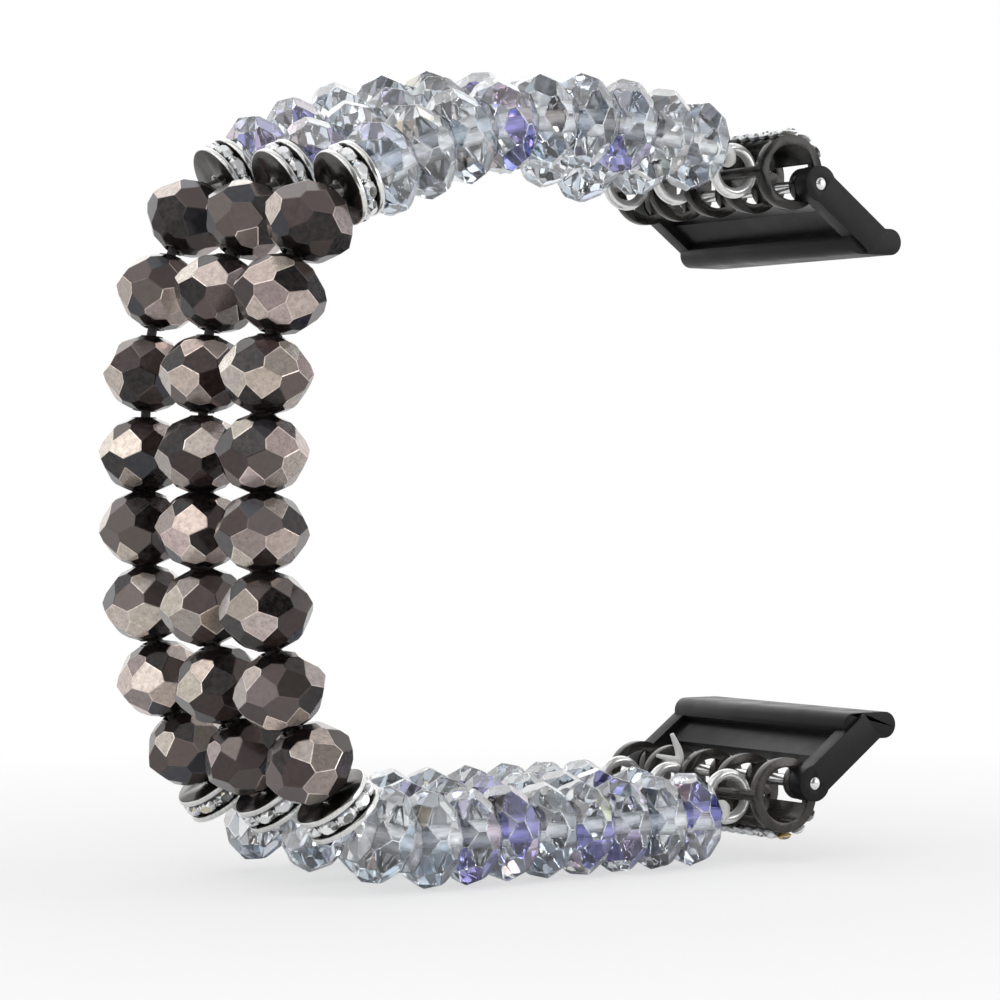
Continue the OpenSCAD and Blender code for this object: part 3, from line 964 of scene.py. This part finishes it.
def makePlateStones():
    stone = cutStone(plateStone["size"], plateStone["height"])
    bpy.ops.mesh.primitive_ico_sphere_add(subdivisions=2, radius=connector["claw"], location=(0, 0, 0))
    claw = bpy.context.object
    claw.data.shade_smooth()
    radius = connector["plateRadius"]
    for side in halves:
        node = f"{side}_connector_stones"
        low, high = (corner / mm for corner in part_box(f"{side}_connector"))
        height = low.z + radius if side == "bottom" else high.z - radius

        def middleAt(y):
            return Vector((low.x + radius, y, height))

        places = stoneSeats(node, lambda centre: middleAt(centre.y))
        piece = copiesOf(stone, places, f"{side}_plateStones")
        nearCorner = min(places, key=lambda seat: (seat[0].y, seat[1].z))[0]
        paintStones(piece, plateStone["seed"], nearCorner if side == "bottom" else None)
        finish(piece, node, rhinestone, "rhinestone", node)
        piece = copiesOf(claw, plateClaws(places, middleAt), f"{side}_plateClaws")
        finish(piece, f"{side}_connector", silver, "connector_metal")
    bpy.data.objects.remove(stone)
    bpy.data.objects.remove(claw)


makeConnectors()
makePlateStones()
print("connectors made")

# lug adapters and hinge pins
adapter = {"edge": 0.22, "smooth": 35}
# each step of a dome: how far it is inset, and its share of the dome's height
pin = {"dome": 0.16, "steps": ((0.14, 0.7), (0.16, 0.3)), "smooth": 50}


def makeAdapters():
    for side in halves:
        node = f"{side}_lug_adapter"
        piece = cleanCopy(node, f"{side}_lugAdapter", roundFlat)
        bevelSharp(piece, adapter["edge"], cornerAngle, segments=3)
        smoothBy(piece, adapter["smooth"])
        finish(piece, node, blackMetal, "black_metal", node)


def makePins():
    for side in halves:
        node = f"{side}_hinge_pin"
        piece = cleanCopy(node, f"{side}_domedPin", roundFlat)
        openEdit(piece)
        for way in (-1, 1):
            selectFaces(piece, lambda face: face.normal.y * way > facing)
            for inset, share in pin["steps"]:
                bpy.ops.mesh.inset(thickness=inset, depth=pin["dome"] * share)
        closeEdit()
        smoothBy(piece, pin["smooth"])
        finish(piece, node, silver, "silver_plate", node)


makeAdapters()
makePins()
print("lug adapters and pins made")

# jump rings
# the cut lies on the side of the connector, away from the cord; cut and cutAt are in degrees
jumpRing = {"wire": 0.45, "cut": 5, "cutAt": 200, "segments": 72, "sides": 20, "smooth": 40}


def ringFrame(side, strand):
    # the middle of a ring and the radius of its wire's middle line
    low, high = (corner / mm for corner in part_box(f"{side}_jump_ring_{strand}"))
    return (low + high) / 2, (high.x - low.x) / 2 - jumpRing["wire"]


def makeJumpRing(side, strand):
    centre, radius = ringFrame(side, strand)
    node = f"{side}_jump_ring_{strand}"
    bpy.ops.mesh.primitive_circle_add(
        vertices=jumpRing["sides"], radius=jumpRing["wire"], location=(radius, 0, 0),
    )
    piece = bpy.context.object
    piece.name = f"{side}_jumpRing_{strand}"
    bpy.ops.object.transform_apply(location=True, rotation=True, scale=True)
    openEdit(piece)
    turn = 2 * math.pi - math.radians(jumpRing["cut"])
    bpy.ops.mesh.spin(steps=jumpRing["segments"], angle=turn, center=(0, 0, 0), axis=(0, 1, 0))
    bpy.ops.mesh.select_all(action="SELECT")
    bpy.ops.mesh.fill_holes(sides=0)
    bpy.ops.mesh.select_all(action="SELECT")
    bpy.ops.mesh.normals_make_consistent(inside=False)
    closeEdit()
    cutTurn = Matrix.Rotation(math.radians(jumpRing["cutAt"]), 4, "Y")
    piece.data.transform(Matrix.Translation(centre) @ cutTurn)
    smoothBy(piece, jumpRing["smooth"])
    finish(piece, node, ringSilver, "silver_plate", node)


for side, strand in ends:
    makeJumpRing(side, strand)
print("jump rings made")

# elastic cords
cord = {
    "radius": 0.4,
    "sides": 20,
    "lobes": 7,
    "lobeDepth": 0.05,
    "smooth": 60,
    # radians of the lobes' twist per mm, and mm of cord for one repeat of its fibres
    "twist": 2.1,
    "fibres": 2.5,
    # mm from one section to the next, through the beads, round a ring and in the split tail
    "step": 0.8,
    "tieStep": 0.25,
    "prongStep": 0.2,
    "metal": {"top": "metal_upper", "bottom": "metal_lower"},
    # the tie lies on the ring's wire, this far beside the ring's middle less these degrees
    "ringDrop": 1.6,
    "tieBelow": 6,
    "clear": 0.2,
    # the short tail: its length, and how far its middle and its end lean
    "trimmed": 1.1,
    "trimLean": ((0.5, -0.2), (1, -0.1)),
    # over its last sections a tail gets thicker, or thinner where it is the long one
    "tipSections": 10,
    "shortTip": 0.25,
    "longTip": -0.6,
    # the long tail, from the middle of its ring, and where it splits
    "longTail": ("bottom", "middle"),
    "tail": ((-1.0, 1.1, 0.3), (0.4, 1.25, 1.6), (1.9, 1.45, 2.1), (2.0, 1.5, 3.0), (1.3, 1.5, 4.5)),
    "fork": (1.9, 1.45, 2.2),
    "prong": (-2.3, -0.2, 0.55),
    "prongStart": 0.95,
    "prongTaper": 0.6,
    # the cord's own white, and the near-black painted shade where it runs through the gunmetal rows
    "unshaded": (1, 1, 1),
    "shadedInRows": (0.035, 0.03, 0.03),
}


def smoothPath(corners, step):
    # a curve through the corners, sampled about every step
    path = []
    for k in range(len(corners) - 1):
        p0, p1 = corners[max(k - 1, 0)], corners[k]
        p2, p3 = corners[k + 1], corners[min(k + 2, len(corners) - 1)]
        count = max(2, round((p2 - p1).length / step))
        for j in range(count):
            t = j / count
            path.append(
                0.5 * (2 * p1 + (p2 - p0) * t + (2 * p0 - 5 * p1 + 4 * p2 - p3) * t * t
                       + (3 * p1 - p0 - 3 * p2 + p3) * t ** 3)
            )
    return path + [corners[-1]]


def cordTube(name, path, radii=None, shadedBelowX=-math.inf):
    # a bundle of fibres: a lobed section, twisted along the path, closed at both ends
    sides, verts, faces, uvs = cord["sides"], [], [], []
    run, side = 0.0, Vector((0, 1, 0))
    for k, at in enumerate(path):
        ahead = (path[min(k + 1, len(path) - 1)] - path[max(k - 1, 0)]).normalized()
        side = (side - ahead * side.dot(ahead)).normalized()
        up = ahead.cross(side)
        run += (at - path[k - 1]).length if k else 0
        size = cord["radius"] * (radii[k] if radii else 1)
        for j in range(sides):
            turn = 2 * math.pi * j / sides
            ripple = math.cos(cord["lobes"] * turn + cord["twist"] * run)
            lobe = 1 - cord["lobeDepth"] + cord["lobeDepth"] * ripple
            verts.append(at + size * lobe * (math.cos(turn) * side + math.sin(turn) * up))
            uvs.append((j / sides, run / cord["fibres"]))
    for k in range(len(path) - 1):
        for j in range(sides):
            a, b = k * sides + j, k * sides + (j + 1) % sides
            faces.append((a, b, b + sides, a + sides))
    faces.append(tuple(range(sides - 1, -1, -1)))
    faces.append(tuple(range((len(path) - 1) * sides, len(path) * sides)))
    mesh = bpy.data.meshes.new(name)
    mesh.from_pydata(verts, [], faces)
    layer = mesh.uv_layers.new(name="UVMap")
    for face in mesh.polygons:
        # the last face of each round runs on to 1 and not back to 0
        wraps = len(face.vertices) == 4 and {0, sides - 1} <= {v % sides for v in face.vertices}
        for k, v in zip(face.loop_indices, face.vertices):
            u, w = uvs[v]
            layer.data[k].uv = (u + 1 if wraps and v % sides == 0 else u, w)
    # painted shade: the cord is painted near-black where it runs through the gunmetal rows, short of the given
    # x
    tint = mesh.color_attributes.new("facetColour", "FLOAT_COLOR", "POINT")
    for v, place in enumerate(verts):
        tint.data[v].color = (*cord["shadedInRows" if place.x < shadedBelowX else "unshaded"], 1)
    piece = addPiece(name, mesh)
    openEdit(piece)
    bpy.ops.mesh.normals_make_consistent(inside=False)
    closeEdit()
    smoothBy(piece, cord["smooth"])
    return piece


def finishCord(piece, node):
    piece.data.transform(Matrix.Scale(mm, 4))
    piece.data.materials.append(elastic)
    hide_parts(node)


def betweenBeads(here, there):
    # where the cord leaves one bead and where it enters the next
    return here[0] + here[1] * here[2], there[0] - there[1] * there[2]


def cordEnd(side, strand, hole):
    # leaves the last crystal, goes round the ring's wire from one side to the other, and ends in its tail
    ring, radius = ringFrame(side, strand)
    up = 1 if side == "top" else -1
    tie = math.asin(cord["ringDrop"] / radius) - math.radians(cord["tieBelow"])
    at = ring + radius * Vector((-math.cos(tie), 0, up * math.sin(tie)))
    inwards = Vector((math.cos(tie), 0, -up * math.sin(tie)))
    across = Vector((0, 1, 0))
    out = cord["radius"] + jumpRing["wire"] + cord["clear"]
    leave = hole[0] + hole[1] * (hole[2] + cord["clear"])
    corners = [hole[0], hole[0] + hole[1] * hole[2], leave]
    corners.append((leave + at) / 2 - math.sin(math.pi / 4) * out * across)
    for eighth in range(-2, 3):
        turn = eighth * math.pi / 4
        corners.append(at + out * (math.cos(turn) * inwards + math.sin(turn) * across))
    if (side, strand) == cord["longTail"]:
        return corners + [ring + Vector(step) for step in cord["tail"]]
    return corners + [
        corners[-1] + share * cord["trimmed"] * Vector((lean, 0, -up)) for share, lean in cord["trimLean"]
    ]


def makeJointLength(strand, chain, shadedBelowX):
    # from the middle of one bead to the middle of another, across one joint
    path = [chain[0][1][0]]
    for (body, here), (nextBody, there) in zip(chain, chain[1:]):
        leave, enter = betweenBeads(here, there)
        path += [leave, enter]
        if body != nextBody:
            start, end, pair = leave, enter, (body, nextBody)
    path.append(chain[-1][1][0])
    fine = []
    for a, b in zip(path, path[1:]):
        count = max(1, round((b - a).length / cord["step"]))
        fine += [a.lerp(b, j / count) for j in range(count)]
    piece = cordTube(f"elastic_{strand}_{pair[0]}_{pair[1]}", fine + [path[-1]], None, shadedBelowX)
    finishCord(piece, f"elastic_cord_{strand}")
    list(pair)
    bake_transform(piece)


def makeTie(side, strand, chain):
    # the end that is tied to the ring
    path = []
    for (_, here), (_, there) in zip(chain, chain[1:]):
        path += [here[0], *betweenBeads(here, there)]
    path = smoothPath(path + cordEnd(side, strand, chain[-1][1]), cord["tieStep"])
    long = (side, strand) == cord["longTail"]
    tip, growth = cord["tipSections"], cord["longTip" if long else "shortTip"]
    radii = [1] * (len(path) - tip) + [1 + growth * j / tip for j in range(tip)]
    piece = cordTube(f"elasticTie_{side}_{strand}", path, radii)
    finishCord(piece, f"elastic_cord_{strand}")
    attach(piece, chain[-1][0])
    if long:
        # the long tail is split, and one half leans towards the crystals
        base, lean = ringFrame(side, strand)[0] + Vector(cord["fork"]), Vector(cord["prong"])
        half = smoothPath([base, base + 0.5 * lean, base + lean], cord["prongStep"])
        radii = [cord["prongStart"] - cord["prongTaper"] * j / (len(half) - 1) for j in range(len(half))]
        piece = cordTube(f"elasticFork_{side}_{strand}", half, radii)
        finishCord(piece, f"elastic_cord_{strand}")
        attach(piece, chain[-1][0])


def makeCord(strand):
    rows = {"top": [], "bottom": []}
    for hole in holeFrames(f"metal_centre_{strand}"):
        rows["top" if hole[0].z > middleHeight / mm else "bottom"].append(hole)
    lastMetal = min(holeFrames(f"{side}_spacer_{strand}")[0][0].x for side in halves)
    for side in halves:
        chain = [("centre", hole) for hole in rows[side]]
        names = [f"{cord['metal'][side]}_{strand}", f"{side}_spacer_{strand}"]
        for name in names + [f"{side}_crystals_{group}_{strand}" for group in groups]:
            chain += [(bodyOf[name], hole) for hole in holeFrames(name)]
        # cut in the middle of a bead of each body, so that every length crosses one joint
        members = {}
        for k, (body, _) in enumerate(chain):
            members.setdefault(body, []).append(k)
        cuts = [ks[len(ks) // 2] for ks in members.values()]
        for first, last in zip(cuts, cuts[1:]):
            makeJointLength(strand, chain[first:last + 1], lastMetal)
        makeTie(side, strand, chain[cuts[-1]:])
    path = [hole[0] for hole in reversed(rows["bottom"])] + [hole[0] for hole in rows["top"]]
    piece = cordTube(f"elasticMiddle_{strand}", smoothPath(path, cord["step"]), None, lastMetal)
    finishCord(piece, f"elastic_cord_{strand}")
    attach(piece, "centre")


for strand in strands:
    makeCord(strand)
print("elastic cords made")

# floor, backdrop and light
studio = {
    "floor": {"Base Color": (0.93, 0.93, 0.93), "Roughness": 0.9, "Specular IOR Level": 0.1},
    "floorSize": 3.0,
    "floorDrop": 0.0001,
    # from the first distance on, in metres, the floor gets whiter, starting from this share of white
    "shadowReach": (0.04, 0.13),
    "leastWhite": 0.6,
    "worldLight": 0.55,
    "front": (1.0, 1.0, 1.0),
    "back": (0.06, 0.06, 0.063),
    "backEdge": (0.24, 0.62),
    # a bright window on the left, low to high, as the facets show it
    "window": (-0.9, 0.25, 0.34),
    "windowEdge": (0.52, 0.74),
    "lamps": (
        # place from the band's middle, size, power, metres and watts
        ("keySoftbox", (-0.28, -0.2, 0.32), 0.62, 0.95),
        ("fillSoftbox", (0.3, -0.34, 0.12), 0.24, 0.45),
        ("rearSoftbox", (0.12, 0.36, 0.26), 0.45, 0.35),
    ),
}


def between(tree, value, low, high, leastOut=0):
    # goes from leastOut to 1 as the value goes from low to high
    edges = {"From Min": low, "From Max": high, "To Min": leastOut}
    return addNode(tree, "MapRange", {"Value": value, **edges}).outputs["Result"]


def makeFloor():
    bpy.ops.mesh.primitive_plane_add(size=studio["floorSize"], location=(0, 0, -studio["floorDrop"]))
    floor = bpy.context.object
    floor.name = "studioFloor"
    material, tree, shader = newMaterial("studioFloor")
    feed(tree, shader, studio["floor"])
    # near the object the floor keeps its shadow, and farther out it is as white as the backdrop
    place = addNode(tree, "TexCoord").outputs["Object"]
    away = addNode(tree, "VectorMath", {0: place}, "LENGTH").outputs["Value"]
    fade = between(tree, away, *studio["shadowReach"], studio["leastWhite"])
    seen = addNode(tree, "LightPath").outputs
    either = addNode(tree, "Math", {0: seen["Is Camera Ray"], 1: seen["Is Transmission Ray"]}, "MAXIMUM")
    share = addNode(tree, "Math", {0: either.outputs[0], 1: fade}, "MULTIPLY")
    white = addNode(tree, "Emission", {"Color": studio["front"]})
    mix = addNode(tree, "MixShader", {"Fac": share.outputs[0], 1: shader.outputs[0], 2: white.outputs[0]})
    feed(tree, tree.nodes["Material Output"], {"Surface": mix.outputs[0]})
    floor.data.materials.append(material)


def makeWorld():
    # the camera sees white, matt surfaces an even light, and shiny and clear ones a studio
    world = bpy.data.worlds.new("studioWorld")
    bpy.context.scene.world = world
    world.use_nodes = True
    tree = world.node_tree
    tree.nodes.clear()
    place = addNode(tree, "TexCoord").outputs["Generated"]
    towards = addNode(tree, "VectorMath", {0: place, 1: camera["look"]}, "DOT_PRODUCT")
    half = between(tree, towards.outputs["Value"], -1, 1)
    ramp = addNode(tree, "ValToRGB", {"Fac": half})
    for element, edge, tone in zip(ramp.color_ramp.elements, studio["backEdge"], ("back", "front")):
        element.position = edge
        element.color = (*studio[tone], 1)
    lightFrom = Vector(studio["window"]).normalized()
    sideways = addNode(tree, "VectorMath", {0: place, 1: lightFrom}, "DOT_PRODUCT")
    window = between(tree, sideways.outputs["Value"], *studio["windowEdge"])
    reflected = addNode(tree, "Background", {
        "Color": mixColour(tree, window, ramp.outputs["Color"], studio["front"]),
    })
    light = addNode(tree, "Background", {"Color": studio["front"], "Strength": studio["worldLight"]})
    white = addNode(tree, "Background", {"Color": studio["front"]})
    seen = addNode(tree, "LightPath").outputs
    either = addNode(tree, "Math", {0: seen["Is Glossy Ray"], 1: seen["Is Transmission Ray"]}, "MAXIMUM")
    shiny, matt, plain = reflected.outputs[0], light.outputs[0], white.outputs[0]
    gloss = addNode(tree, "MixShader", {"Fac": either.outputs[0], 1: matt, 2: shiny})
    final = addNode(tree, "MixShader", {"Fac": seen["Is Camera Ray"], 1: gloss.outputs[0], 2: plain})
    addNode(tree, "OutputWorld", {"Surface": final.outputs[0]})


def makeLamps():
    middle = Vector((0, 0, middleHeight))
    for name, place, size, power in studio["lamps"]:
        at = middle + Vector(place)
        aim = (middle - at).to_track_quat("-Z", "Y").to_euler()
        bpy.ops.object.light_add(type="AREA", location=at, rotation=aim)
        lamp = bpy.context.object
        lamp.name = name
        lamp.data.size = size
        lamp.data.energy = power


makeFloor()
makeWorld()
makeLamps()
bpy.context.scene.view_settings.view_transform = "Standard"
print("floor, backdrop and lamps made")
